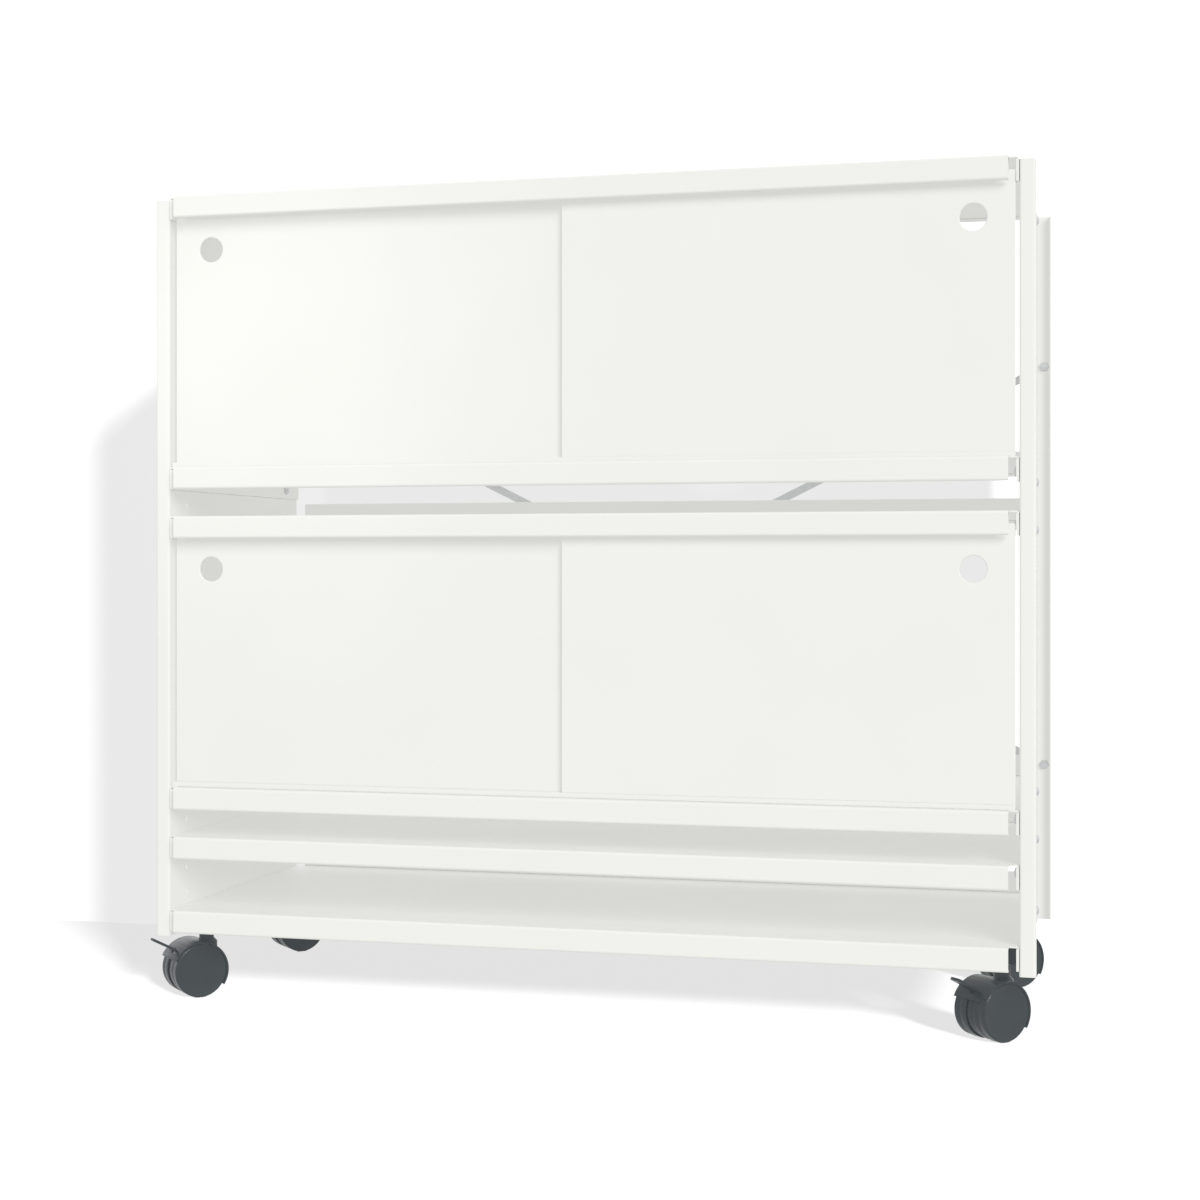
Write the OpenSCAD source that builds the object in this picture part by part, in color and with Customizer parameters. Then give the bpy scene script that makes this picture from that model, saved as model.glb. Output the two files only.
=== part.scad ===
// Low sideboard on casters, in millimetres. Two folded gables with rows of holes carry six like
// trays, two bays close with pairs of sliding doors, and a crossed tie stiffens the open back.
// Origin on the floor, midway between the gables and midway along their depth.
// X points to the right, Y to the back and Z up.

/* [Stack] */
// Pitch of the rows of holes
hole_pitch = 30; // [28:1:34]
// Rows from the bottom tray to the low tray
low_slot_rows = 3; // [2:1:6]
// Rows from the low tray to the floor of the lower bay
high_slot_rows = 2; // [2:1:5]
// Rows from the floor to the roof of each bay
bay_rows = 11; // [7:1:14]
// Rows from the roof of the lower bay to the floor of the upper bay
gap_rows = 2; // [2:1:6]

/* [Gables] */
// Depth from front to back
gable_d = 396; // [376:1:450]
// Width of the folded channel
channel_w = 18; // [16:0.5:24]
// Length of the returns at the channel's edges
return_w = 15; // [8:0.5:22]
// Thickness of the folded sheet
sheet = 1.5; // [1.2:0.1:1.8]
// Outer radius of the folds
fold_r = 3; // [2.4:0.1:4]
// Height of the lowest hole above the gable's foot
first_hole = 18; // [16:0.5:22]
// Distance of each column of holes from the gable's edge
column_inset = 48; // [42:1:60]

/* [Trays] */
// Length over the end flanges
tray_len = 1020; // [900:5:1200]
// Height of the lip, the end flanges and the upstand
fold_h = 27; // [24:0.5:30]
// How far the lip stands in front of the gables
lip_out = 12.5; // [10:0.5:18]
// How much shorter the lip is at each end
lip_notch = 11; // [8:0.5:16]
// Length of the return under the lip
lip_return = 9; // [6:0.5:12]
// How much shorter the upstand is at each end
upstand_notch = 13; // [8:0.5:20]
// Depth of the hem below the tray at the back
hem_drop = 4; // [2:0.5:6]
// Distance of the bolts below the tray's top
bolt_drop = 15; // [12:0.5:18]
// Gap between a tray and the gable
tray_fit = 0.2; // [0.1:0.05:0.5]

/* [Doors] */
// Thickness over the folded edges
door_t = 5; // [4:0.5:8]
// Thickness of the door sheet
door_sheet = 1.2; // [0.8:0.1:1.5]
// Radius of the door's front edges
door_edge_r = 1.5; // [1:0.1:2]
// Setback of the front door behind the gables' front
door_setback = 2; // [1.5:0.5:5]
// Gap between the front and the rear door
door_gap = 3; // [2.8:0.1:6]
// How far the two doors of a bay overlap
door_overlap = 26; // [10:1:60]
// Gap between a shut door and the tray's end flange
door_end_gap = 1; // [0.5:0.1:3]
// Distance of the door's top edge below the roof tray's top
door_top_gap = 14; // [12:0.5:17]
// Diameter of the finger hole
finger_d = 30; // [24:1:36]
// Distance of the finger hole from the door's outer edge
finger_side = 46; // [30:1:80]
// Distance of the finger hole below the door's top edge
finger_down = 50.5; // [36:0.5:90]

/* [Tracks] */
// Thickness of the track's base and outer walls
track_wall = 1.2; // [1:0.1:1.6]
// Gap between a door and each wall of its groove
groove_play = 0.7; // [0.5:0.05:0.9]
// Height of the bottom track's ribs above its base
rib_h = 4.5; // [3.5:0.1:6]
// Depth of the top track
top_track_h = 18; // [16:0.5:22]
// How much shorter the top track is at each end than the bay
top_track_short = 9; // [2:0.5:20]
// How much shorter the bottom track is at each end than the bay
bottom_track_short = 1; // [0.5:0.5:6]
// Length of a nylon glide under a door
glide_len = 30; // [20:1:50]
// Height of a nylon glide under a door
glide_h = 2.2; // [1.6:0.1:3]
// Distance of a glide's middle from the door's edge
glide_side = 60; // [40:1:120]
// Running gap under and beside a glide
glide_play = 0.2; // [0.1:0.05:0.4]
// Height of a guide on the door's top edge
guide_h = 1.5; // [1:0.1:3]
// Diameter of the pegs that hold glides and guides
peg_d = 2.4; // [2:0.1:2.8]

/* [Brace] */
// Width of a flat bar
bar_w = 10; // [8:0.5:14]
// Thickness of a flat bar
bar_t = 2; // [1.5:0.1:3]
// Row of holes that the low ends line up with
brace_low_row = 6; // [3:1:8]
// Rows from the low ends to the high ends
brace_rows = 17; // [12:1:20]

/* [Fasteners] */
// Diameter of the bolts
bolt_d = 6; // [5:0.5:6]
// How much wider the bolt holes are
hole_play = 0.4; // [0.2:0.1:0.8]
// Diameter of a bolt's head
head_d = 11; // [10:0.5:12]
// Height of a bolt's head
head_h = 3.3; // [2.5:0.1:4]
// Width across the flats of the key socket
key_af = 4; // [3:0.5:5]
// Width across the flats of a nut
nut_af = 10; // [9:0.5:11]
// Height of a nut
nut_h = 4; // [3:0.5:5]
// Diameter of the rivet where the bars cross
rivet_d = 5; // [4:0.5:6]

/* [Casters] */
// Diameter of the wheels
wheel_d = 65; // [62:0.5:67]
// Width of one wheel
wheel_w = 20; // [17:0.5:23]
// Gap between the two wheels
wheel_gap = 13; // [12:0.5:16]
// Distance of the axle behind the swivel axis
trail = 16; // [14:0.5:17]
// Direction in which the casters trail at rest
rest_turn = 225; // [0:5:355]
// Height from the crown of the hood to the socket
neck_rise = 17; // [13:0.5:20]
// Height of the socket under the bottom tray
socket_h = 25.5; // [24:0.5:34]
// Radius of the socket's round side
socket_r = 16; // [15:0.5:18]
// Distance of the swivel axis from the tray's end
swivel_inset = 22; // [20:0.5:28]
// Distance of a front caster's swivel axis behind the column of holes
swivel_back = 9; // [8.5:0.5:10]
// Gap between a rear socket and the upstand's hem
hem_gap = 1; // [0.5:0.5:6]
// Gap between the wheels and the hood
hood_gap = 1; // [0.8:0.1:2]
// Thickness of the hood's shell
hood_t = 2; // [1.6:0.1:2.4]
// Angle where the hood begins on the side it trails to
hood_from = 24; // [20:1:32]
// Angle where the hood ends on the other side
hood_to = 213; // [200:1:220]
// Diameter of the hood's neck
neck_d = 18; // [16:0.5:20]
// Diameter of the swivel pin
pin_d = 7; // [6:0.1:7.4]
// Diameter of the threaded stud in the socket
stud_d = 10; // [8:0.5:11]
// Diameter of the axle
axle_d = 6; // [5:0.1:7]
// Thickness of a wheel's outer face
wheel_face = 3; // [2:0.1:5]
// Thickness of a wheel's rim
wheel_rim = 4.5; // [4:0.1:6]
// Radius of a wheel's outer edge
wheel_edge_r = 3; // [1.5:0.1:3.8]
// Diameter of a wheel's hub
hub_d = 16; // [12:0.5:20]
// Radial gap of a shaft that turns in its bore
shaft_play = 0.05; // [0.02:0.01:0.09]

/* [Brakes] */
// Length of the brake lever from its pivot
lever_len = 44.5; // [40:0.5:50]
// Rise of the lever when the brake is off
lever_rise = 28; // [24:1:30]
// Travel of the lever to brake
lever_travel = 12; // [6:1:12]
// Width of the pedal
lever_w = 17; // [14:0.5:24]
// Radius of the pedal's corners
pedal_r = 6; // [2:0.5:7]
// Thickness of the lever
lever_t = 3.2; // [2.6:0.1:3.6]
// Width of the tongue that passes into the hood
tongue_w = 5; // [4:0.1:6]
// Gap between the tongue and its slot
tongue_play = 0.4; // [0.3:0.05:0.6]
// Diameter of the pivot pin
pivot_d = 4; // [3:0.1:4.5]
// Distance of the pivot from the axle
pivot_r = 24.5; // [23:0.5:26]
// Angle of the pivot above the horizontal
pivot_angle = 52; // [48:1:56]

/* [Hidden] */
$fn = 48;
coat = [0.95, 0.95, 0.92];
zinc = [0.66, 0.67, 0.68];
plastic = [0.31, 0.335, 0.35];
nylon = [0.86, 0.86, 0.84];
eps = 0.01;

TRAYS = ["bottom", "low", "lower_bay_floor", "lower_bay_roof", "upper_bay_floor", "top"];
BAYS = ["lower", "upper"];
SIDES = ["left", "right"];
CORNERS = ["front_left", "front_right", "rear_left", "rear_right"];
BRAKED = ["front_left", "front_right"];
CASTER_PIECES = ["socket", "stem", "hood", "axle", "wheel_a", "wheel_b"];

// Row of holes that carries each tray, from the bottom one up
lower_bay_row = low_slot_rows + high_slot_rows;
upper_bay_row = lower_bay_row + bay_rows + gap_rows;
tray_rows = [
    0,
    low_slot_rows,
    lower_bay_row,
    lower_bay_row + bay_rows,
    upper_bay_row,
    upper_bay_row + bay_rows
];
bay_floor = [2, 4];
hole_rows = tray_rows[5] + 1;
gable_h = hole_rows * hole_pitch;

// Radii and height of a caster
wheel_r = wheel_d / 2;
hood_r = wheel_r + hood_gap + hood_t;
caster_h = wheel_r + hood_r + neck_rise;

// Heights
foot_z = caster_h + socket_h - first_hole - bolt_drop + sheet;
function row_z(row) = foot_z + first_hole + row * hole_pitch;
function tray_z(tray) = row_z(tray_rows[tray]) + bolt_drop;

// Planes across the depth
front_y = -gable_d / 2;
rear_y = gable_d / 2;
columns = [front_y + column_inset, rear_y - column_inset];

// Places along the length
tray_x = tray_len / 2;
flange_x = tray_x - 2 * sheet;
web_x = tray_x + tray_fit;
channel_mid = channel_w / 2;
hole_d = bolt_d + hole_play;

// Doors and tracks
door_w = flange_x - door_end_gap + door_overlap / 2;
door_x = flange_x - door_end_gap - door_w;
door_y = [front_y + door_setback + door_t + door_gap, front_y + door_setback];
door_foot = track_wall + glide_play + glide_h;
glide_w = door_t + 2 * (groove_play - glide_play);
button_t = 1.5;
button_len = 8;
guide_len = 20;
function door_z(bay) = tray_z(bay_floor[bay]) + door_foot;
function door_h(bay) = tray_z(bay_floor[bay] + 1) - door_top_gap - door_z(bay);

// Tie across the back
brace_z = [row_z(brace_low_row), row_z(brace_low_row + brace_rows)];
brace_x = web_x + channel_mid;
brace_len = sqrt(pow(2 * brace_x, 2) + pow(brace_z[1] - brace_z[0], 2));
brace_angle = atan2(brace_z[1] - brace_z[0], 2 * brace_x);
spacer_d = 14;
bolt_past_nut = 1;

// Casters, in their own frame: X towards the axle, Y along the axle, Z up from the floor
spine_play = 0.6;
spine_r = wheel_r - 1.5;
spine_w = wheel_gap - 2 * spine_play;
hood_w = wheel_gap + 2 * wheel_w - 1;
collar_h = 2.6;
collar_af = 16;
collar_gap = 0.3;
neck_top = caster_h - collar_h - collar_gap;
neck_flare = 4;
flare_z = wheel_r + hood_r - neck_flare + 1;
pin_end = 45;
stud_len = 22;
hub_recess = 0.5;
axle_half = wheel_gap / 2 + wheel_w - wheel_face - 2.5;
swivel_x = tray_x - swivel_inset;
swivel_y = [columns[0] + swivel_back, rear_y - 2 * sheet - hem_gap - socket_r];
pivot = pivot_r * [cos(pivot_angle), sin(pivot_angle)];
eye_r = pivot_d / 2 + 2;
pedal_gap = 1.6;
socket_grip = 9.5;
socket_edge = 8;

// One quarter of a fold, with the outer faces towards +X and +Y
module fold() {
    intersection() {
        difference() {
            circle(r = fold_r);
            circle(r = fold_r - sheet);
        }
        square(fold_r);
    }
}

// A rectangle given by two opposite corners
module block(a, b) {
    translate([min(a[0], b[0]), min(a[1], b[1])])
        square([abs(b[0] - a[0]), abs(b[1] - a[1])]);
}

// Extrudes an outline drawn as Y and Z along X, centred
module along_x(len) {
    rotate([90, 0, 90]) translate([0, 0, -len / 2]) linear_extrude(len) children();
}

// Extrudes an outline drawn as X and Z along Y between two planes
module along_y(y0, y1) {
    translate([0, y1, 0]) rotate([90, 0, 0]) linear_extrude(y1 - y0) children();
}

// A cylinder along X, and one along Y, that starts at the origin
module rod_x(d, len) {
    rotate([0, 90, 0]) cylinder(d = d, h = len);
}
module rod_y(d, len) {
    rotate([-90, 0, 0]) cylinder(d = d, h = len);
}

// A six-sided prism by its width across the flats
module hex(af, h) {
    cylinder(d = af / cos(30), h = h, $fn = 6);
}

// Mirrors to the left side, or leaves on the right
module on_side(side) {
    if (side == "left") {
        mirror([1, 0, 0]) children();
    } else {
        children();
    }
}

// Half of the gable's channel section, from the middle of the web to the front return
module half_channel() {
    block([0, front_y + fold_r], [sheet, 0]);
    translate([fold_r, front_y + fold_r]) rotate(180) fold();
    block([fold_r, front_y], [channel_w - fold_r, front_y + sheet]);
    translate([channel_w - fold_r, front_y + fold_r]) rotate(-90) fold();
    block([channel_w - sheet, front_y + fold_r], [channel_w, front_y + return_w]);
}

// Gable: folded channel, open outwards, with two columns of holes and two holes for the tie
module gable() {
    color(coat) difference() {
        translate([web_x, 0, foot_z]) linear_extrude(gable_h) {
            half_channel();
            mirror([0, 1]) half_channel();
        }
        for (y = columns, row = [0 : hole_rows - 1])
            translate([web_x - 1, y, row_z(row)]) rod_x(hole_d, sheet + 2);
        for (z = brace_z)
            translate([brace_x, rear_y - sheet - 1, z]) rod_y(hole_d, sheet + 2);
    }
}

// Plate and end flanges of a tray; each flange is hemmed to two plies
module tray_body() {
    for (s = [0, 1]) mirror([s, 0]) {
        block([0, -sheet], [tray_x - fold_r, 0]);
        translate([tray_x - fold_r, -fold_r]) fold();
        block([tray_x - sheet, -fold_h], [tray_x, -fold_r]);
        block([flange_x, -fold_h], [tray_x - sheet, -fold_r]);
    }
}

// Section of the front lip with its return, drawn as Y and Z
module lip_section() {
    lip_y = front_y - lip_out;
    block([lip_y + fold_r, -sheet], [front_y + eps, 0]);
    translate([lip_y + fold_r, -fold_r]) rotate(90) fold();
    block([lip_y, fold_r - fold_h], [lip_y + sheet, -fold_r]);
    translate([lip_y + fold_r, fold_r - fold_h]) rotate(180) fold();
    block([lip_y + fold_r, -fold_h], [lip_y + lip_return, sheet - fold_h]);
}

// Section of the upstand at the back, folded to two plies with a round top edge
module upstand_section() {
    block([rear_y - 2 * sheet, -sheet - hem_drop], [rear_y, fold_h - sheet]);
    translate([rear_y - sheet, fold_h - sheet]) circle(r = sheet);
}

// Tray: plate, lip at the front, flanges at the ends and upstand at the back
module tray(index) {
    color(coat) translate([0, 0, tray_z(index)]) difference() {
        union() {
            along_y(front_y, rear_y - 2 * sheet + eps) tray_body();
            along_x(tray_len - 2 * lip_notch) lip_section();
            along_x(tray_len - 2 * upstand_notch) upstand_section();
        }
        for (s = [-1, 1], y = columns)
            translate([s * (flange_x - 1), y, -bolt_drop]) rotate([0, 0, s > 0 ? 0 : 180])
                rod_x(hole_d, 2 * sheet + 2);
    }
}

// Section of a double track: a base and three walls that stand up from it
module track_section(wall_h) {
    start = door_y[1] - groove_play;
    middle = door_y[1] + door_t + groove_play;
    end = door_y[0] + door_t + groove_play;
    block([start - track_wall, 0], [end + track_wall, track_wall]);
    block([start - track_wall, 0], [start, track_wall + wall_h]);
    block([middle, 0], [door_y[0] - groove_play, track_wall + wall_h]);
    block([end, 0], [end + track_wall, track_wall + wall_h]);
}

// Bottom track, on the floor of a bay
module bottom_track(bay) {
    color(coat) translate([0, 0, tray_z(bay_floor[bay])])
        along_x(2 * (flange_x - bottom_track_short)) track_section(rib_h);
}

// Top track, under the roof of a bay
module top_track(bay) {
    color(coat) translate([0, 0, tray_z(bay_floor[bay] + 1) - sheet]) mirror([0, 0, 1])
        along_x(2 * (flange_x - top_track_short)) track_section(top_track_h - track_wall);
}

// Outline of a door edge-on, with its two front corners rounded
module door_edge(len) {
    block([door_edge_r, 0], [len - door_edge_r, door_t]);
    block([0, door_edge_r], [len, door_t]);
    for (x = [door_edge_r, len - door_edge_r]) translate([x, door_edge_r]) circle(r = door_edge_r);
}

// Middles of the glides along a door
glide_x = [glide_side, door_w - glide_side];

// Door: a shallow folded pan, open at the back, with a drawn finger hole at its outer edge
module door(bay, side) {
    h = door_h(bay);
    is_right = side == "right";
    color(coat) on_side(side) translate([door_x, door_y[is_right ? 1 : 0], door_z(bay)]) difference() {
        union() {
            difference() {
                intersection() {
                    linear_extrude(h) door_edge(door_w);
                    translate([door_w / 2, 0, 0]) along_x(door_w)
                        rotate(90) mirror([0, 1]) door_edge(h);
                }
                translate([door_sheet, door_sheet, door_sheet])
                    cube([door_w - 2 * door_sheet, door_t, h - 2 * door_sheet]);
            }
            translate([door_w - finger_side, door_sheet / 2, h - finger_down])
                rod_y(finger_d + 2 * door_sheet, door_t - door_sheet / 2);
        }
        translate([door_w - finger_side, -1, h - finger_down]) rod_y(finger_d, door_t + 2);
        for (x = glide_x, z = [-1, h - door_sheet - 1])
            translate([x, door_t / 2 + door_sheet / 2, z]) cylinder(d = peg_d + 0.2, h = door_sheet + 2);
    }
}

// One nylon foot with a peg through the door's folded edge and a button inside it
module glide(len, h) {
    button_w = door_t - door_sheet - 0.4;
    peg_y = door_t / 2 + door_sheet / 2;
    translate([-len / 2, door_t / 2 - glide_w / 2, -h]) cube([len, glide_w, h]);
    translate([0, peg_y, -eps]) cylinder(d = peg_d, h = door_sheet + 2 * eps);
    translate([-button_len / 2, peg_y - button_w / 2, door_sheet]) cube([button_len, button_w, button_t]);
}

// Glides under a door and guides on its top edge
module glides(bay, side) {
    is_right = side == "right";
    color(nylon) on_side(side) translate([door_x, door_y[is_right ? 1 : 0], door_z(bay)])
        for (x = glide_x) {
            translate([x, 0, 0]) glide(glide_len, glide_h);
            translate([x, 0, door_h(bay)]) mirror([0, 0, 1]) glide(guide_len, guide_h);
        }
}

// Flat bar with round ends, drawn along X from one bolt to the other
module brace_outline() {
    difference() {
        union() {
            block([0, -bar_w / 2], [brace_len, bar_w / 2]);
            for (x = [0, brace_len]) translate([x, 0]) circle(d = bar_w);
        }
        for (x = [0, brace_len]) translate([x, 0]) circle(d = hole_d);
        translate([brace_len / 2, 0]) circle(d = rivet_d + 0.1);
    }
}

// Bar of the tie that lies in layer 0, on the gables, or in layer 1, behind the other bar
module brace_bar(layer) {
    y = rear_y + layer * bar_t;
    color(zinc) mirror([layer, 0, 0]) translate([-brace_x, 0, brace_z[0]])
        along_y(y, y + bar_t) rotate(brace_angle) brace_outline();
}

// Washers under the ends of the rear bar
module brace_spacers() {
    color(zinc) for (s = [0, 1])
        translate([(1 - 2 * s) * brace_x, rear_y, brace_z[s]]) difference() {
            rod_y(spacer_d, bar_t);
            translate([0, -1, 0]) rod_y(hole_d, bar_t + 2);
        }
}

// Bolt with a bevelled button head, its shank along Z from the seat of the head
module bolt(len) {
    bevel = 1.2;
    difference() {
        union() {
            translate([0, 0, bevel - head_h]) cylinder(d = head_d, h = head_h - bevel);
            translate([0, 0, -head_h]) cylinder(d1 = head_d - 2 * bevel - 1, d2 = head_d, h = bevel);
            cylinder(d = bolt_d, h = len);
        }
        translate([0, 0, -head_h - eps]) hex(key_af, head_h / 2 + 0.4);
    }
}

// Hexagon nut, from its seat along Z
module nut() {
    difference() {
        hex(nut_af, nut_h);
        translate([0, 0, -1]) cylinder(d = bolt_d + 0.1, h = nut_h + 2);
    }
}

// The four ends of the tie: X sign, height and layer
brace_ends = [for (s = [-1, 1], i = [0, 1]) [s, brace_z[i], (s < 0) == (i == 0) ? 0 : 1]];

// Bolts of the tie, through a bar and the gable's rear flange
module brace_bolts() {
    color(zinc) for (e = brace_ends)
        translate([e[0] * brace_x, rear_y + (e[2] + 1) * bar_t, e[1]]) rotate([90, 0, 0])
            bolt((e[2] + 1) * bar_t + sheet + nut_h + bolt_past_nut);
}

// Nuts of the tie, inside the gable's channel
module brace_nuts() {
    color(zinc) for (e = brace_ends)
        translate([e[0] * brace_x, rear_y - sheet, e[1]]) rotate([90, 0, 0]) nut();
}

// Rivet through both bars where they cross
module brace_rivet() {
    rivet_head = 1.6;
    color(zinc) translate([0, rear_y, (brace_z[0] + brace_z[1]) / 2]) {
        rod_y(rivet_d, 2 * bar_t);
        translate([0, -rivet_head, 0]) rod_y(1.8 * rivet_d, rivet_head);
        translate([0, 2 * bar_t, 0]) rod_y(1.8 * rivet_d, rivet_head);
    }
}

// Thickness that a tray's bolt clamps: web, fit and hemmed flange
grip = web_x + sheet - flange_x;

// Bolts of all trays on one side; the bottom ones reach into the caster sockets
module tray_bolts(side) {
    color(zinc) on_side(side) for (row = tray_rows, y = columns)
        translate([web_x + sheet, y, row_z(row)]) rotate([0, -90, 0])
            bolt(row == 0 ? grip + socket_grip : grip + nut_h + bolt_past_nut);
}

// Nuts of the trays on one side, apart from the bottom tray
module tray_nuts(side) {
    color(zinc) on_side(side) for (i = [1 : len(tray_rows) - 1], y = columns)
        translate([flange_x, y, row_z(tray_rows[i])]) rotate([0, -90, 0]) nut();
}

// Puts a caster's piece at its corner, turned to the direction in which it rests
function corner_side(corner) = (corner == "front_left" || corner == "rear_left") ? "left" : "right";
function is_braked(corner) = len([for (b = BRAKED) if (b == corner) b]) > 0;
function corner_x(corner) = corner_side(corner) == "left" ? -swivel_x : swivel_x;
function corner_y(corner) = (corner == "front_left" || corner == "front_right") ? swivel_y[0] : swivel_y[1];
module at_corner(corner) {
    translate([corner_x(corner), corner_y(corner), 0]) rotate([0, 0, rest_turn]) children();
}

// Socket: moulded block under the bottom tray, flat against the tray's end flange and long enough
// for the bolt that comes through it
module socket(corner) {
    flat = flange_x - swivel_x;
    bolt_y = (corner_y(corner) < 0 ? columns[0] : columns[1]) - corner_y(corner);
    bolt_z = caster_h + socket_h + sheet - bolt_drop;
    color(plastic) translate([0, corner_y(corner), 0]) on_side(corner_side(corner))
        translate([swivel_x, 0, 0]) difference() {
            translate([0, 0, caster_h]) linear_extrude(socket_h) {
                circle(r = socket_r);
                block([0, min(-socket_r, bolt_y - socket_edge)], [flat, socket_r]);
            }
            translate([0, 0, caster_h - 1]) cylinder(d = stud_d + 2 * shaft_play, h = stud_len + 2);
            translate([flat - socket_grip - 0.5, bolt_y, bolt_z]) rod_x(bolt_d + 0.1, socket_grip + 1);
        }
}

// Stem: stud in the socket, hexagon collar under it and the pin that the hood swivels on
module stem() {
    color(zinc) {
        translate([0, 0, pin_end]) cylinder(d = pin_d, h = caster_h - pin_end);
        translate([0, 0, caster_h - collar_h]) hex(collar_af, collar_h);
        translate([0, 0, caster_h]) cylinder(d = stud_d, h = stud_len);
    }
}

// Sector between two angles, wide enough to cut a circle of the given radius
module sector(r, from, to) {
    steps = 8;
    polygon(concat([[0, 0]], [for (i = [0 : steps])
        let (a = from + (to - from) * i / steps) 1.3 * r * [cos(a), sin(a)]]));
}

// Outline of the tongue and pedal at one position of the brake, about the axle
module lever_outline(press, play) {
    translate(pivot) rotate(lever_rise - press) {
        circle(r = eye_r + play);
        block([0, -lever_t / 2 - play], [lever_len - lever_t / 2, lever_t / 2 + play]);
        translate([lever_len - lever_t / 2, 0]) circle(d = lever_t + 2 * play);
    }
}

// Turns an outline about the axle, drawn as X and Z, into a solid centred on the axle's length
module about_axle(w) {
    translate([trail, w / 2, wheel_r]) rotate([90, 0, 0]) linear_extrude(w) children();
}

// Hood: arched shell over both wheels, a spine disc that fills the space between them, and the
// neck of the swivel
module hood(braked) {
    color(plastic) difference() {
        union() {
            about_axle(hood_w) intersection() {
                difference() {
                    circle(r = hood_r, $fn = 96);
                    circle(r = hood_r - hood_t, $fn = 96);
                }
                sector(hood_r, hood_from, hood_to);
            }
            about_axle(spine_w) {
                intersection() {
                    circle(r = hood_r - hood_t / 2, $fn = 96);
                    sector(hood_r, hood_from, hood_to);
                }
                circle(r = spine_r, $fn = 96);
            }
            difference() {
                union() {
                    translate([0, 0, wheel_r]) cylinder(d = neck_d, h = neck_top - wheel_r);
                    translate([0, 0, flare_z])
                        cylinder(d1 = neck_d + 2 * neck_flare, d2 = neck_d, h = neck_flare);
                    translate([0, 0, wheel_r]) cylinder(d = neck_d + 2 * neck_flare, h = flare_z - wheel_r);
                }
                about_axle(hood_w) circle(r = hood_r - hood_t / 2, $fn = 96);
            }
        }
        translate([0, 0, pin_end - 0.5]) cylinder(d = pin_d + 2 * shaft_play, h = caster_h - pin_end);
        about_axle(hood_w) circle(d = axle_d);
        if (braked) {
            about_axle(tongue_w + 2 * tongue_play)
                for (press = [0, lever_travel / 2, lever_travel]) lever_outline(press, tongue_play);
            about_axle(hood_w) translate(pivot) circle(d = pivot_d);
        }
    }
}

// Axle through the spine and into both wheels
module axle() {
    color(zinc) translate([trail, -axle_half, wheel_r]) rod_y(axle_d, 2 * axle_half);
}

// Half section of a wheel: closed face outwards, rim and hub open towards the spine
module wheel_section() {
    inner_edge_r = 1;
    rim_in = wheel_r - wheel_rim;
    block([rim_in, 0], [wheel_r - inner_edge_r, wheel_w - wheel_edge_r]);
    block([wheel_r - inner_edge_r, inner_edge_r], [wheel_r, wheel_w - wheel_edge_r]);
    translate([wheel_r - inner_edge_r, inner_edge_r]) circle(r = inner_edge_r);
    block([rim_in, wheel_w - wheel_edge_r - eps], [wheel_r - wheel_edge_r, wheel_w]);
    translate([wheel_r - wheel_edge_r, wheel_w - wheel_edge_r]) circle(r = wheel_edge_r);
    block([0, wheel_w - wheel_face], [rim_in + eps, wheel_w]);
    block([axle_d / 2 + shaft_play, hub_recess], [hub_d / 2, wheel_w - wheel_face + eps]);
}

// Wheel on the side of the axle given by the sign
module wheel(sign) {
    color(plastic) translate([trail, sign * wheel_gap / 2, wheel_r]) rotate([-sign * 90, 0, 0])
        rotate_extrude($fn = 96) wheel_section();
}

// Outline of the pedal from above, along X from the pivot to the rounded tip
module pedal_outline() {
    side = lever_w / 2;
    block([0, -side], [lever_len - pedal_r, side]);
    block([0, pedal_r - side], [lever_len, side - pedal_r]);
    for (y = [pedal_r - side, side - pedal_r]) translate([lever_len - pedal_r, y]) circle(r = pedal_r);
}

// Brake lever: narrow tongue on the pivot and a wide pedal outside the hood
module brake_lever() {
    color(plastic) difference() {
        union() {
            about_axle(tongue_w) lever_outline(0, 0);
            intersection() {
                about_axle(lever_w) difference() {
                    lever_outline(0, 0);
                    circle(r = hood_r + pedal_gap, $fn = 96);
                }
                translate([trail + pivot[0], 0, wheel_r + pivot[1]]) rotate([0, -lever_rise, 0])
                    linear_extrude(2 * lever_t, center = true) pedal_outline();
            }
        }
        about_axle(lever_w + 2) translate(pivot) circle(d = pivot_d + 2 * shaft_play);
    }
}

// Pin that the brake lever turns on
module brake_pin() {
    color(zinc) about_axle(spine_w) translate(pivot) circle(d = pivot_d);
}

for (s = SIDES) {
    on_side(s) gable();
    tray_bolts(s);
    tray_nuts(s);
}
for (i = [0 : len(TRAYS) - 1]) {
    tray(i);
}
for (b = [0 : len(BAYS) - 1]) {
    top_track(b);
    bottom_track(b);
    for (s = SIDES) {
        door(b, s);
        glides(b, s);
    }
}
brace_bar(0);  // brace_bar_front
brace_bar(1);  // brace_bar_rear
brace_spacers();
brace_bolts();
brace_nuts();
brace_rivet();
for (c = CORNERS) {
    socket(c);
    at_corner(c) stem();
    at_corner(c) hood(is_braked(c));
    at_corner(c) axle();
    at_corner(c) wheel(1);
    at_corner(c) wheel(-1);
}
for (c = BRAKED) {
    at_corner(c) brake_lever();
    at_corner(c) brake_pin();
}
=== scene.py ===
"""Low steel sideboard on casters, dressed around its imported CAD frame. All sizes are metres."""

import math

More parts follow.
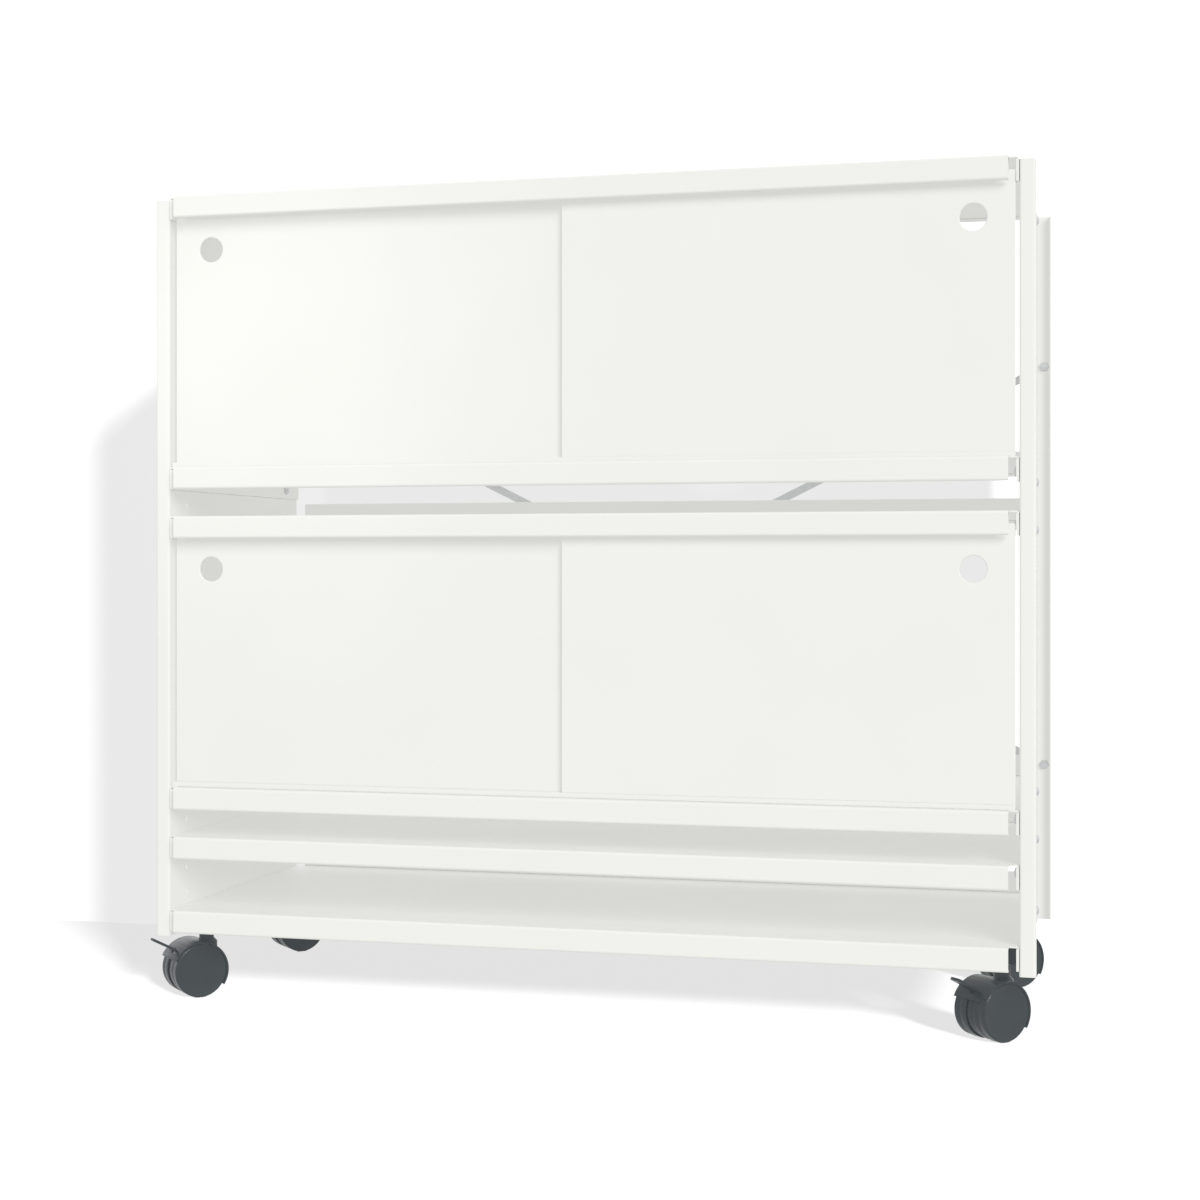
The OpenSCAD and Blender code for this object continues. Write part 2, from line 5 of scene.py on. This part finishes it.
import bmesh
import bpy
import numpy as np
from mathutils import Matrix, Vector


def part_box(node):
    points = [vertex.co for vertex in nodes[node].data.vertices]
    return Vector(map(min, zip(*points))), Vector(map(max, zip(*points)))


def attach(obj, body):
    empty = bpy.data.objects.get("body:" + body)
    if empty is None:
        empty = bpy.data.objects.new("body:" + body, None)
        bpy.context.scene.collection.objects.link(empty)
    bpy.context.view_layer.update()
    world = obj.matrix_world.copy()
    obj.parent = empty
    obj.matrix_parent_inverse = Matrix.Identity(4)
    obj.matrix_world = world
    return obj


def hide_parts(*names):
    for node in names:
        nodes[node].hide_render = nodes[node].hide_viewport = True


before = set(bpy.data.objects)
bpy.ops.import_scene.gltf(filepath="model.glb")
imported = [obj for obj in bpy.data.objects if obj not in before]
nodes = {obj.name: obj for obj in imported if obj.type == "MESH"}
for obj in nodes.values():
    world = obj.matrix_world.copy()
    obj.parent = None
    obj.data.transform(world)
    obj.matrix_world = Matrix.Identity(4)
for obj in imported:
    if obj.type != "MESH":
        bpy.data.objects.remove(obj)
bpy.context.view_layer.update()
mm = 0.001

# Camera: it stands in front of the right half, at half height, and looks a little to the left.
# The picture is square, and the shift puts the cabinet where the photograph has it.
camera_data = bpy.data.cameras.new("camera")
camera_data.sensor_width = 36
camera_data.lens = 62.332
camera_data.shift_x = -0.00333
camera_data.shift_y = -0.02577
camera = bpy.data.objects.new("camera", camera_data)
camera.location = (0.642453, -2.52341, 0.527655)
camera.rotation_euler = (math.radians(90), 0, math.radians(14.556))
bpy.context.scene.collection.objects.link(camera)
bpy.context.scene.camera = camera
bpy.context.scene.view_settings.view_transform = "Standard"


class Socket:
    """One socket of a shader, with the operators that the finishes below use."""

    def __init__(self, tree, socket):
        self.tree = tree
        self.socket = socket

    def node(self, kind, inputs=(), output=0, **settings):
        """Adds a node: settings first, then the values or links of its sockets by name or number."""
        made = self.tree.nodes.new(kind)
        for name, value in settings.items():
            setattr(made, name, value)
        for name, value in dict(inputs).items():
            if isinstance(value, Socket):
                self.tree.links.new(value.socket, made.inputs[name])
            else:
                made.inputs[name].default_value = value
        return Socket(self.tree, made.outputs[output])

    def math(self, operation, *values):
        """A Math node on this socket and the other values."""
        return self.node("ShaderNodeMath", dict(enumerate((self, *values))), operation=operation)

    def __add__(self, other):
        return self.math("ADD", other)

    __radd__ = __add__

    def __mul__(self, other):
        return self.math("MULTIPLY", other)

    __rmul__ = __mul__

    def blend(self, low, high):
        """Mixes two colours, or one colour and a link, by this socket as the factor."""
        return self.node("ShaderNodeMix", {0: self, 6: low, 7: high}, output=2, data_type="RGBA")


def new_finish(name):
    """An empty material: its Object coordinates as a Socket, and its Principled shader."""
    material = bpy.data.materials.new(name)
    material.use_nodes = True
    tree = material.node_tree
    tree.nodes.clear()
    out = tree.nodes.new("ShaderNodeOutputMaterial")
    shader = tree.nodes.new("ShaderNodeBsdfPrincipled")
    tree.links.new(shader.outputs[0], out.inputs[0])
    place = tree.nodes.new("ShaderNodeTexCoord")
    return material, Socket(tree, place.outputs["Object"]), shader


def wire(shader, **inputs):
    """Sets the shader's sockets, whose names have spaces for underscores, to values or links."""
    for name, value in inputs.items():
        socket = shader.inputs[name.replace("_", " ")]
        if isinstance(value, Socket):
            value.tree.links.new(value.socket, socket)
        else:
            socket.default_value = value


def noise(place, scale, detail=2.0, roughness=0.5):
    """Noise from 0 to 1 in the object's own metres, with the given number of cells in a metre."""
    return place.node("ShaderNodeTexNoise", {"Vector": place, "Scale": scale, "Detail": detail,
                                             "Roughness": roughness})


def bump(height, strength, distance):
    """A normal bent by a height in metres."""
    return height.node("ShaderNodeBump", {"Height": height, "Strength": strength, "Distance": distance})


# Floor and wall: a plain white studio corner. The wall stands close behind the cabinet and takes its
# shadow. It shows to the camera alone and from its front alone, so it shades nothing and hides nothing.
wall_y = 0.295
reach = 9.0


def stage_material(name, glow, one_sided):
    """White for the camera: it takes light and shadow and glows a little by itself. Other rays meet a
    plain pale grey. A one-sided sheet is clear from behind."""
    material = bpy.data.materials.new(name)
    material.use_nodes = True
    tree = material.node_tree
    tree.nodes.clear()
    path = Socket(tree, tree.nodes.new("ShaderNodeLightPath").outputs["Is Camera Ray"])
    own = path.node("ShaderNodeEmission", {"Color": (1, 1, 1, 1), "Strength": glow})
    lit = path.node("ShaderNodeBsdfDiffuse", {"Color": (1, 1, 1, 1)})
    seen = path.node("ShaderNodeAddShader", {0: own, 1: lit})
    plain = path.node("ShaderNodeBsdfDiffuse", {"Color": (0.8, 0.8, 0.8, 1)})
    result = path.node("ShaderNodeMixShader", {0: path, 1: plain, 2: seen})
    if one_sided:
        back = Socket(tree, tree.nodes.new("ShaderNodeNewGeometry").outputs["Backfacing"])
        clear = path.node("ShaderNodeBsdfTransparent")
        result = path.node("ShaderNodeMixShader", {0: back, 1: result, 2: clear})
    tree.links.new(result.socket, tree.nodes.new("ShaderNodeOutputMaterial").inputs[0])
    return material


def stage_sheet(name, corners, material):
    """A flat sheet of the studio from its four corners."""
    mesh = bpy.data.meshes.new(name)
    mesh.from_pydata(corners, [], [(0, 1, 2, 3)])
    mesh.materials.append(material)
    sheet = bpy.data.objects.new(name, mesh)
    bpy.context.scene.collection.objects.link(sheet)
    return sheet


floor_corners = [(-reach, -reach, 0), (reach, -reach, 0), (reach, reach, 0), (-reach, reach, 0)]
wall_corners = [(-reach, wall_y, 0), (reach, wall_y, 0), (reach, wall_y, reach), (-reach, wall_y, reach)]
floor = stage_sheet("floor", floor_corners, stage_material("floor_white", glow=0.01, one_sided=False))
wall = stage_sheet("wall", wall_corners, stage_material("wall_white", glow=0.06, one_sided=True))
for ray in ("visible_diffuse", "visible_glossy", "visible_transmission", "visible_shadow"):
    setattr(wall, ray, False)
floor.visible_diffuse = False

# Light: an even white room, and a key from the front right. The key is clear on the floor and the wall
# and broader on the cabinet, and its glints show on the casters alone. A lamp at the front left gives
# the left doors their soft bright spot, and one high behind gives the open back its shape.
room_level = 0.755
stage_from = Vector((0.765, -1.0, 0.475))
key_from = Vector((0.731, -1.0, 0.56))
back_from = Vector((-0.25, 1.0, 1.7))
left_lamp_place = Vector((-0.9, -1.9, 1.0))
left_lamp_aim = Vector((-0.42, -0.2, 0.83))
world = bpy.data.worlds.new("room")
bpy.context.scene.world = world
world.use_nodes = True
tree = world.node_tree
tree.nodes.clear()
rays = tree.nodes.new("ShaderNodeLightPath")
seen = Socket(tree, rays.outputs["Is Camera Ray"])
for ray in ("Is Glossy Ray", "Is Transmission Ray"):
    seen = seen.math("MAXIMUM", Socket(tree, rays.outputs[ray]))
level = room_level + (1 - room_level) * seen
background = level.node("ShaderNodeBackground", {"Color": (1, 1, 1, 1), "Strength": level})
tree.links.new(background.socket, tree.nodes.new("ShaderNodeOutputWorld").inputs[0])
world.cycles.sampling_method = "NONE"
# Light that a surface would throw on its neighbours counts as light from the room, which keeps the
# slots and the backs of the doors even.
cycles = bpy.context.scene.cycles
cycles.use_fast_gi = True
cycles.fast_gi_method = "REPLACE"
cycles.ao_bounces_render = 1
world.light_settings.distance = 1 * mm


def add_sun(name, place, energy, angle, members=(), state="INCLUDE"):
    """A sun from the direction of a place, which lights only its members, or all but them. More
    members can join its collection."""
    sun = bpy.data.lights.new(name, "SUN")
    sun.energy = energy
    sun.angle = math.radians(angle)
    lamp = bpy.data.objects.new(name, sun)
    lamp.rotation_euler = place.to_track_quat("Z", "Y").to_euler()
    bpy.context.scene.collection.objects.link(lamp)
    lit = bpy.data.collections.new(name + "_lights")
    for member in members:
        lit.objects.link(member)
    for member in lit.collection_objects:
        member.light_linking.link_state = state
    lamp.light_linking.receiver_collection = lit
    return lamp


stage = (floor, wall)
add_sun("stage_key", stage_from, energy=2.3, angle=8, members=stage)
cabinet_key = add_sun("cabinet_key", key_from, energy=1.05, angle=32, members=stage, state="EXCLUDE")
cabinet_key.visible_glossy = False
back_lamp = add_sun("back_lamp", back_from, energy=0.5, angle=40, members=stage, state="EXCLUDE")
back_lamp.visible_glossy = False
glint = add_sun("glint", key_from, energy=2.5, angle=6)
glint.visible_diffuse = False

spot = bpy.data.lights.new("left_lamp", "SPOT")
spot.energy = 14.5
spot.spot_size = math.radians(24)
spot.spot_blend = 1.0
spot.shadow_soft_size = 0.2
left_lamp = bpy.data.objects.new("left_lamp", spot)
left_lamp.location = left_lamp_place
left_lamp.rotation_euler = (left_lamp_place - left_lamp_aim).to_track_quat("Z", "Y").to_euler()
bpy.context.scene.collection.objects.link(left_lamp)


# Powder coat: every sheet-steel piece is baked with a warm white powder. It has a fine grain, a faint
# cloudiness where the coat runs thicker, and a satin gloss that varies a little.
coat_thin = (0.855, 0.862, 0.818, 1)
coat_thick = (0.895, 0.902, 0.860, 1)


def powder_coat():
    """Warm white: clouds in steps of 17 cm, and a normal bent by orange peel of 4 mm and grain of 1 mm."""
    material, place, shader = new_finish("powder_coat")
    cloud = noise(place, scale=6.0, detail=3.0)
    grain = noise(place, scale=900.0, detail=2.0, roughness=0.6)
    orange_peel = noise(place, scale=260.0, detail=1.0)
    wire(shader,
         Base_Color=cloud.blend(coat_thin, coat_thick),
         Roughness=0.42 + 0.10 * grain,
         Normal=bump(orange_peel + 0.5 * grain, strength=0.35, distance=0.06 * mm),
         Specular_IOR_Level=0.35)
    return material


coat = powder_coat()
TRAYS = ("bottom", "low", "lower_bay_floor", "lower_bay_roof", "upper_bay_floor", "top")
BAYS = ("lower", "upper")
SIDES = ("left", "right")


def finish_nodes(material, names):
    """Gives CAD nodes a finish in place of the plain one that they come with."""
    for name in names:
        node = nodes[name]
        node.data.materials.clear()
        node.data.materials.append(material)


finish_nodes(coat, ["gable_" + side for side in SIDES])
finish_nodes(coat, ["tray_" + tray for tray in TRAYS])
finish_nodes(coat, ["%s_track_%s" % (end, bay) for end in ("top", "bottom") for bay in BAYS])


# Doors: each is a shallow pan pressed from 1.2 mm sheet, with its edges folded back round a small
# radius and a finger hole whose rim is drawn inwards. The front is the outer skin of this surface.
def ring_faces(rings, points):
    """Quads between neighbouring rings, each of which closes on itself."""
    ring = np.arange(rings - 1)[:, None] * points
    here = np.arange(points)[None, :]
    after = (here + 1) % points
    quads = np.stack([ring + here, ring + after, ring + points + after, ring + points + here], -1)
    return quads.reshape(-1, 4)


def add_mesh(name, vertices, faces, material, body, replaced):
    """A new piece from arrays of vertices and quads, shaded smooth, that rides on a body and stands for
    the replaced nodes."""
    mesh = bpy.data.meshes.new(name)
    mesh.vertices.add(len(vertices))
    mesh.vertices.foreach_set("co", np.ascontiguousarray(vertices, np.float32).ravel())
    mesh.loops.add(faces.size)
    mesh.loops.foreach_set("vertex_index", np.ascontiguousarray(faces, np.int32).ravel())
    mesh.polygons.add(len(faces))
    mesh.polygons.foreach_set("loop_start", np.arange(0, faces.size, 4, dtype=np.int32))
    mesh.update(calc_edges=True)
    close_mesh(mesh)
    mesh.materials.append(material)
    piece = bpy.data.objects.new(name, mesh)
    bpy.context.scene.collection.objects.link(piece)
    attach(piece, body)
    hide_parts(*replaced)
    return piece


def close_mesh(mesh, crease=math.radians(38)):
    """Merges the doubled vertices of seams and poles, turns the faces outwards and shades them."""
    work = bmesh.new()
    work.from_mesh(mesh)
    bmesh.ops.remove_doubles(work, verts=work.verts, dist=1e-6)
    bmesh.ops.dissolve_degenerate(work, edges=work.edges, dist=1e-7)
    bmesh.ops.recalc_face_normals(work, faces=work.faces)
    work.to_mesh(mesh)
    work.free()
    mesh.shade_smooth()
    mesh.set_sharp_from_angle(angle=crease)


def arc(start, end, steps):
    """Angles in radians from start to end, both in degrees and both included."""
    return np.radians(np.linspace(start, end, steps))


def door_outline(width, height, corner, centre):
    """Points round a rectangle with rounded corners, each with its outward normal, in the order in
    which a ray that turns about the centre meets them: one every 3 degrees on the straight sides,
    and seven on each corner."""
    turn = np.radians(np.arange(0, 360, 3) + 1.5)
    ray = np.stack([np.cos(turn), np.sin(turn)], -1)
    reach_x = np.where(ray[:, 0] > 0, width - centre[0], -centre[0]) / ray[:, 0]
    reach_z = np.where(ray[:, 1] > 0, height - centre[1], -centre[1]) / ray[:, 1]
    side = centre + ray * np.minimum(reach_x, reach_z)[:, None]
    normal = np.where((reach_x < reach_z)[:, None], np.sign(ray) * [1, 0], np.sign(ray) * [0, 1])
    to_corner = np.minimum(side, [width, height] - side).max(1)
    kept = to_corner > 1.2 * corner
    bend = arc(0, 90, 7)[None, :] + np.radians([0, 90, 180, 270])[:, None]
    bend_normal = np.stack([np.cos(bend), np.sin(bend)], -1)
    bend_middle = np.array([(width - corner, height - corner), (corner, height - corner),
                            (corner, corner), (width - corner, corner)])[:, None, :]
    points = np.concatenate([side[kept], (bend_middle + corner * bend_normal).reshape(-1, 2)])
    normals = np.concatenate([normal[kept], bend_normal.reshape(-1, 2)])
    order = np.argsort(np.arctan2(points[:, 1] - centre[1], points[:, 0] - centre[0]))
    return points[order], normals[order]


door_sheet = 1.2 * mm
door_edge = 0.9 * mm
door_corner = 2.4 * mm
door_margin = 0.8 * mm
finger_radius = 15 * mm
finger_drawn = 1.5 * mm
finger_from_edge = 46 * mm
finger_from_top = 50.5 * mm


def door_skin(width, height, depth):
    """The outer skin of a door as rings that grow from the drawn hole over the front to the folded
    edge: a tube, a quarter round, straight lines from the round to the outline, and a quarter round
    back to the depth. Points are across, back and up from the lower inner corner."""
    centre = np.array([width - finger_from_edge, height - finger_from_top])
    outline, normal = door_outline(width, height, door_corner, centre)
    away = outline - centre
    away = away / np.linalg.norm(away, axis=1)[:, None]
    quarter = arc(0, 90, 6)
    hole_radius = np.concatenate([[finger_radius, finger_radius],
                                  finger_radius + finger_drawn * (1 - np.cos(quarter)),
                                  [finger_radius + finger_drawn + door_margin]])
    hole_back = np.concatenate([[depth, 0.5 * depth], finger_drawn * (1 - np.sin(quarter)), [0]])
    inset = np.concatenate([[door_edge + door_margin], door_edge * (1 - np.sin(quarter)), [0, 0]])
    edge_back = np.concatenate([[0], door_edge * (1 - np.cos(quarter)), [0.6 * depth, depth]])
    hole = centre + hole_radius[:, None, None] * away
    edge = outline - inset[:, None, None] * normal
    share = np.array([0.1, 0.4, 0.7, 0.9])[:, None, None]
    front = hole[-1] * (1 - share) + edge[0] * share
    flat = np.concatenate([hole, front, edge])
    back = np.concatenate([hole_back, np.zeros(len(share)), edge_back])
    back = np.broadcast_to(back[:, None], flat.shape[:2])
    return np.stack([flat[..., 0], back, flat[..., 1]], -1)


for bay in BAYS:
    for side in SIDES:
        name = "door_%s_%s" % (bay, side)
        low, high = (np.array(point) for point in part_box(name))
        skin = door_skin(high[0] - low[0], high[2] - low[2], high[1] - low[1])
        faces = ring_faces(*skin.shape[:2])
        skin = skin + low if side == "right" else skin * [-1, 1, 1] + [high[0], low[1], low[2]]
        door = add_mesh("door_skin_%s_%s" % (bay, side), skin.reshape(-1, 3), faces, coat, name,
                        [name])
        # A skin that is open at its back has no inside, so its front face settles the way out.
        foremost = min(door.data.polygons, key=lambda face: face.center.y - face.area)
        if foremost.normal.y > 0:
            door.data.flip_normals()
        sheet = door.modifiers.new("sheet", "SOLIDIFY")
        sheet.thickness = door_sheet
        sheet.offset = -1
        sheet.use_even_offset = True


# Zinc plate: the tie's bars, the bolts and nuts, and the stems, axles and pins of the casters are
# rolled, headed or turned from steel. They are plated bright, which leaves small grey clouds.
zinc_dark = (0.62, 0.63, 0.65, 1)
zinc_light = (0.78, 0.79, 0.81, 1)
CORNERS = ("front_left", "front_right", "rear_left", "rear_right")
BRAKED = ("front_left", "front_right")


def zinc_plate():
    """A metal with clouds of 8 mm, the lighter ones rougher, and a grain finer than 1 mm."""
    material, place, shader = new_finish("zinc_plate")
    spangle = noise(place, scale=120.0, detail=3.0, roughness=0.6)
    grain = noise(place, scale=1500.0, detail=2.0)
    wire(shader,
         Base_Color=spangle.blend(zinc_dark, zinc_light),
         Metallic=1.0,
         Roughness=0.30 + 0.16 * spangle,
         Normal=bump(grain, strength=0.2, distance=0.04 * mm))
    return material


zinc = zinc_plate()
finish_nodes(zinc, ["brace_" + piece
                    for piece in ("bar_front", "bar_rear", "spacers", "bolts", "nuts", "rivet")])
finish_nodes(zinc, ["tray_%s_%s" % (piece, side) for piece in ("bolts", "nuts") for side in SIDES])
finish_nodes(zinc, ["%s_%s" % (piece, corner) for piece in ("stem", "axle") for corner in CORNERS])
finish_nodes(zinc, ["brake_pin_" + corner for corner in BRAKED])


# Tray bolts: button heads with a hexagon key socket, driven from outside the gables into nuts behind
# the trays' flanges, and at the bottom into the caster sockets.
bolt_shank = 3.0 * mm
bolt_length = 9.7 * mm
bolt_tip = 0.5 * mm
bolt_head = 5.5 * mm
bolt_head_height = 3.3 * mm
bolt_head_rim = 0.35 * mm
bolt_seat_edge = 0.2 * mm
bolt_seat_rise = 0.15 * mm
bolt_dome_start = 28
bolt_key = 2.0 * mm
bolt_key_depth = 0.45 * bolt_head_height
bolt_key_lead = 0.25 * mm
bolt_key_foot = 0.97
bolt_key_mouth = 1.08
bolt_drop = 15 * mm
column_y = 150 * mm


def bolt_rings(length):
    """A bolt as rings about its own axis, seat at 0 and head towards -1: the hexagon socket, whose
    radius is its half width over the cosine of the angle to the nearest flat, then the domed head,
    a quarter ellipse, then the shank to its end. Points are along, and the two across."""
    angle = np.radians(np.arange(0, 360, 10))
    to_flat = np.abs((angle + math.pi / 6) % (math.pi / 3) - math.pi / 6)
    hexagon = bolt_key / np.cos(to_flat)
    round_ring = np.ones_like(angle)
    dome = arc(bolt_dome_start, 90, 9)
    foot = [bolt_head, bolt_head - bolt_seat_edge, bolt_shank, bolt_shank, bolt_shank - bolt_tip, 0]
    key = [0 * round_ring, bolt_key_foot * hexagon, hexagon, bolt_key_mouth * hexagon]
    radius = np.concatenate([key, np.outer(bolt_head * np.sin(dome), round_ring),
                             np.outer(foot, round_ring)])
    domed = -bolt_head_rim - (bolt_head_height - bolt_head_rim) * np.cos(dome) / math.cos(dome[0])
    along = np.concatenate([[-bolt_key_depth, -bolt_key_depth, bolt_key_lead - bolt_head_height,
                             -bolt_head_height], domed,
                            [-bolt_seat_rise, 0, 0, length - bolt_tip, length, length]])
    along = np.broadcast_to(along[:, None], radius.shape)
    return np.stack([along, radius * np.cos(angle), radius * np.sin(angle)], -1)


def tray_top(tray):
    """Height of a tray's top: midway between its lip's foot and its upstand's edge."""
    low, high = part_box("tray_" + tray)
    return (low[2] + high[2]) / 2


for side, outward in (("left", -1), ("right", 1)):
    name = "tray_bolts_" + side
    low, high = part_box(name)
    seat = max(abs(low[0]), abs(high[0])) - bolt_head_height
    shanks = [seat - min(abs(low[0]), abs(high[0]))] + [bolt_length] * 5
    vertices, faces, count = [], [], 0
    for tray, length in zip(TRAYS, shanks):
        for y in (-column_y, column_y):
            rings = bolt_rings(length)
            placed = rings * [-outward, 1, outward] + [outward * seat, y, tray_top(tray) - bolt_drop]
            vertices.append(placed.reshape(-1, 3))
            faces.append(ring_faces(*rings.shape[:2]) + count)
            count += rings.shape[0] * rings.shape[1]
    add_mesh("tray_bolt_set_" + side, np.concatenate(vertices), np.concatenate(faces), zinc, "cabinet",
             [name])


# Caster plastic: the wheels, hoods, sockets and levers are moulded from dark grey nylon, which comes
# glossy from the mould, with faint flow marks.
plastic_dark = (0.052, 0.061, 0.067, 1)
plastic_light = (0.058, 0.068, 0.075, 1)


def caster_plastic():
    """Dark grey with a hint of blue: flow marks of 2 cm, and a grain so fine that it only softens gloss."""
    material, place, shader = new_finish("caster_plastic")
    flow = noise(place, scale=45.0, detail=2.0)
    grain = noise(place, scale=1400.0, detail=1.0)
    wire(shader,
         Base_Color=flow.blend(plastic_dark, plastic_light),
         Roughness=0.20 + 0.08 * grain,
         Normal=bump(grain, strength=0.25, distance=0.04 * mm),
         Specular_IOR_Level=0.25)
    return material


plastic = caster_plastic()


# Wheels: two moulded halves on each caster, hollow towards the other, with a flat closed face, a
# rounded edge, a hub on the axle and a fine parting line round the tread.
wheel_width = 20 * mm
wheel_face = 3 * mm
wheel_rim = 4.5 * mm
wheel_outer_edge = 1.6 * mm
wheel_inner_edge = 0.4 * mm
wheel_hub = 8 * mm
wheel_bore = 3.05 * mm
hub_recess = 0.5 * mm
hub_chamfer = 0.5 * mm
hub_draft = 0.6 * mm
hub_fillet = 1.0 * mm
bore_chamfer = 0.4 * mm
rim_fillet = 1.2 * mm
rim_draft = 0.4 * mm
rim_chamfer = 0.6 * mm
parting_depth = 0.15 * mm
parting_half = 0.12 * mm
parting_flank = 0.5 * mm
rim_lip = 1.0 * mm
tread_lead = 0.3 * mm
face_step = 0.8 * mm
face_fall = 0.25 * mm
face_middle = 0.4 * mm
face_dish = 0.45 * mm
wheel_points = 96
axle_way = np.array([math.sqrt(0.5), -math.sqrt(0.5), 0])


def quarter_round(radius, along, bend, angles):
    """Points of a section at the given angles round a middle, which lies at a radius and a distance."""
    return [(radius + bend * math.cos(angle), along + bend * math.sin(angle)) for angle in angles]


def wheel_profile(radius, width):
    """The closed section of a wheel as radius and distance from its open side: up the hub, along the
    web, down inside the rim, round the tread with quarter rounds, and over the dished face."""
    web = width - wheel_face
    rim_in = radius - wheel_rim
    parting = width / 2
    face = radius - wheel_outer_edge - face_step
    rows = [(wheel_bore, web), (wheel_bore, hub_recess + bore_chamfer),
            (wheel_bore + bore_chamfer, hub_recess), (wheel_hub - hub_chamfer, hub_recess),
            (wheel_hub, hub_recess + hub_chamfer), (wheel_hub + hub_draft, web - hub_fillet),
            (wheel_hub + hub_draft + hub_fillet, web), (rim_in - rim_fillet, web),
            (rim_in, web - rim_fillet), (rim_in + rim_draft, rim_lip),
            (rim_in + rim_draft + rim_chamfer, 0), (radius - wheel_inner_edge - tread_lead, 0)]
    rows += quarter_round(radius - wheel_inner_edge, wheel_inner_edge, wheel_inner_edge, arc(-90, 0, 4))
    rows += [(radius, parting - parting_flank), (radius - parting_depth, parting - parting_half),
             (radius - parting_depth, parting + parting_half), (radius, parting + parting_flank)]
    rows += quarter_round(radius - wheel_outer_edge, width - wheel_outer_edge, wheel_outer_edge,
                          arc(0, 90, 8))
    rows += [(face, width), (face - face_step, width - face_fall), (0.5 * radius, width - face_middle),
             (0.2 * radius, width - face_dish), (0, width - face_dish), (0, web), (wheel_bore, web)]
    return np.array(rows)


def turned(profile, centre, axis, points):
    """A profile of radius and distance turned about a level axis through a centre: one ring for each
    row of the profile."""
    angle = np.linspace(0, 2 * math.pi, points, endpoint=False)
    up = np.array([0, 0, 1.0])
    side = np.cross(up, axis)
    around = np.cos(angle)[:, None] * side + np.sin(angle)[:, None] * up
    return centre + profile[:, 0, None, None] * around + profile[:, 1, None, None] * axis


for corner in CORNERS:
    for half, outward in (("a", axle_way), ("b", -axle_way)):
        name = "wheel_%s_%s" % (half, corner)
        low, high = (np.array(point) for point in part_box(name))
        radius = (high[2] - low[2]) / 2
        open_side = (low + high) / 2 - outward * wheel_width / 2
        rings = turned(wheel_profile(radius, wheel_width), open_side, outward, wheel_points)
        wheel = add_mesh("wheel_%s_%s_moulding" % (half, corner), rings.reshape(-1, 3),
                         ring_faces(*rings.shape[:2]), plastic, name, [name])
        glint.light_linking.receiver_collection.objects.link(wheel)


# Hoods, sockets and brake levers: mouldings from the same plastic. Their edges are softened as a
# mould leaves them.
hood_edge = 0.6 * mm
socket_edge = 0.8 * mm
lever_edge = 0.7 * mm
merge_gap = 0.002 * mm
flat_angle = math.radians(1.2)
sharp_angle = math.radians(40)


def soften(name, body, material, radius):
    """A copy of a CAD node, with its flat faces joined and its sharp edges rounded, that stands for it."""
    mesh = nodes[name].data.copy()
    mesh.name = name + "_soft"
    work = bmesh.new()
    work.from_mesh(mesh)
    bmesh.ops.remove_doubles(work, verts=work.verts, dist=merge_gap)
    bmesh.ops.dissolve_limit(work, angle_limit=flat_angle, verts=work.verts, edges=work.edges)
    work.to_mesh(mesh)
    work.free()
    mesh.materials.clear()
    mesh.materials.append(material)
    mesh.shade_smooth()
    piece = bpy.data.objects.new(name + "_soft", mesh)
    bpy.context.scene.collection.objects.link(piece)
    edge = piece.modifiers.new("edge", "BEVEL")
    edge.width = radius
    edge.segments = 3
    edge.limit_method = "ANGLE"
    edge.angle_limit = sharp_angle
    edge.use_clamp_overlap = True
    edge.harden_normals = True
    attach(piece, body)
    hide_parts(name)
    return piece


for corner in CORNERS:
    hood = soften("hood_" + corner, "caster_" + corner, plastic, hood_edge)
    glint.light_linking.receiver_collection.objects.link(hood)
    soften("socket_" + corner, "cabinet", plastic, socket_edge)
for corner in BRAKED:
    soften("brake_lever_" + corner, "brake_" + corner, plastic, lever_edge)


# Nylon: the glides and guides of the doors are moulded from natural nylon. Each door has four, which
# run in its grooves of the top and the bottom track.
nylon_dark = (0.72, 0.72, 0.68, 1)
nylon_light = (0.80, 0.80, 0.77, 1)


def natural_nylon():
    """Cream white, with clouds of 5 mm that are a little rougher where they are lighter."""
    material, place, shader = new_finish("nylon")
    cloud = noise(place, scale=200.0, detail=2.0)
    wire(shader,
         Base_Color=cloud.blend(nylon_dark, nylon_light),
         Roughness=0.45 + 0.1 * cloud)
    return material


nylon = natural_nylon()
finish_nodes(nylon, ["glides_%s_%s" % (bay, side) for bay in BAYS for side in SIDES])
